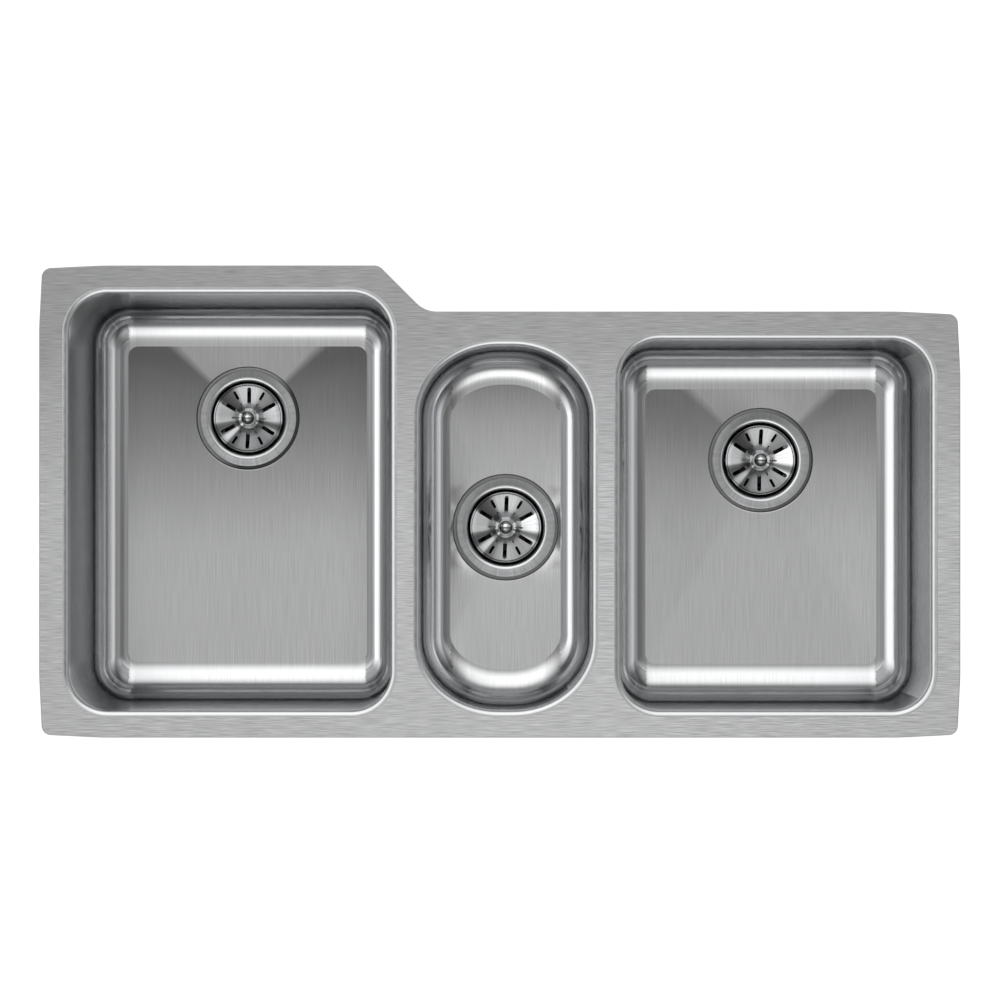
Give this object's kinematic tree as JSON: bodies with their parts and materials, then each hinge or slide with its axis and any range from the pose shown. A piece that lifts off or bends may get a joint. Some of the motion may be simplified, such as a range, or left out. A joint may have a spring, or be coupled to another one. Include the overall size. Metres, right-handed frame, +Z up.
{
  "type": "undermount triple-bowl sink",
  "caption": "Undermount stainless steel sink with a stepped flange, drawn bowls of different sizes and depths, and a lift-out strainer basket in each drain.",
  "frame": {"origin": "on the flange's top face, at the middle of the front rim strip, 12 mm behind the front edge", "axes": "+Z up out of the bowls, +X along the sink to the right, +Y to the rear"},
  "size_m": [1.016, 0.5207, 0.4178],
  "materials": {
    "brushed_steel": "satin brushed, 18 gauge stainless steel; the grain runs along the sink on the flange and front to rear on the floors",
    "polished_steel": "polished",
    "turned_steel": "turned, with fine circular marks",
    "spring_steel": "bright spring steel",
    "cast_metal": "cast zinc alloy, as cast",
    "black_rubber": "moulded",
    "damping_pad": "embossed damping sheet",
    "fibre": "pressed fibre",
    "white_nylon": "moulded"
  },
  "bodies": {
    "sink": {"deck_flange": "brushed_steel", "left_bowl": "brushed_steel", "left_base_pad": "damping_pad", "left_drain_body": "polished_steel", "left_flange_gasket": "black_rubber", "left_rubber_washer": "black_rubber", "left_friction_ring": "fibre", "left_lock_nut": "cast_metal", "left_tailpiece_washer": "white_nylon", "left_tailpiece": "polished_steel", "left_coupling_nut": "polished_steel", "centre_bowl": "brushed_steel", "centre_base_pad": "damping_pad", "centre_drain_body": "polished_steel", "centre_flange_gasket": "black_rubber", "centre_rubber_washer": "black_rubber", "centre_friction_ring": "fibre", "centre_lock_nut": "cast_metal", "centre_tailpiece_washer": "white_nylon", "centre_tailpiece": "polished_steel", "centre_coupling_nut": "polished_steel", "right_bowl": "brushed_steel", "right_base_pad": "damping_pad", "right_drain_body": "polished_steel", "right_flange_gasket": "black_rubber", "right_rubber_washer": "black_rubber", "right_friction_ring": "fibre", "right_lock_nut": "cast_metal", "right_tailpiece_washer": "white_nylon", "right_tailpiece": "polished_steel", "right_coupling_nut": "polished_steel", "left_side_pad": "damping_pad", "left_front_pad": "damping_pad", "right_side_pad": "damping_pad", "right_front_pad": "damping_pad"},
    "left_stopper": {"left_basket_stopper": "black_rubber"},
    "left_basket": {"left_basket_cup": "turned_steel", "left_basket_stem": "polished_steel", "left_basket_knob": "polished_steel", "left_basket_backing": "spring_steel", "left_spring_clip": "spring_steel"},
    "centre_stopper": {"centre_basket_stopper": "black_rubber"},
    "centre_basket": {"centre_basket_cup": "turned_steel", "centre_basket_stem": "polished_steel", "centre_basket_knob": "polished_steel", "centre_basket_backing": "spring_steel", "centre_spring_clip": "spring_steel"},
    "right_stopper": {"right_basket_stopper": "black_rubber"},
    "right_basket": {"right_basket_cup": "turned_steel", "right_basket_stem": "polished_steel", "right_basket_knob": "polished_steel", "right_basket_backing": "spring_steel", "right_spring_clip": "spring_steel"}
  },
  "joints": [
    {"name": "left_basket_lift", "type": "slide", "parent": "sink", "child": "left_stopper", "axis": [0, 0, 1], "range_m": [-0.0057, 0.31]},
    {"name": "left_basket_spin", "type": "hinge", "parent": "left_stopper", "child": "left_basket", "pos_m": [-0.298, 0.3501, -0.2516], "axis": [0, 0, 1], "continuous": true},
    {"name": "centre_basket_lift", "type": "slide", "parent": "sink", "child": "centre_stopper", "axis": [0, 0, 1], "range_m": [-0.0057, 0.2]},
    {"name": "centre_basket_spin", "type": "hinge", "parent": "centre_stopper", "child": "centre_basket", "pos_m": [0.0068, 0.2204, -0.1373], "axis": [0, 0, 1], "continuous": true},
    {"name": "right_basket_lift", "type": "slide", "parent": "sink", "child": "right_stopper", "axis": [0, 0, 1], "range_m": [-0.0057, 0.265]},
    {"name": "right_basket_spin", "type": "hinge", "parent": "right_stopper", "child": "right_basket", "pos_m": [0.3047, 0.2991, -0.204], "axis": [0, 0, 1], "continuous": true}
  ]
}
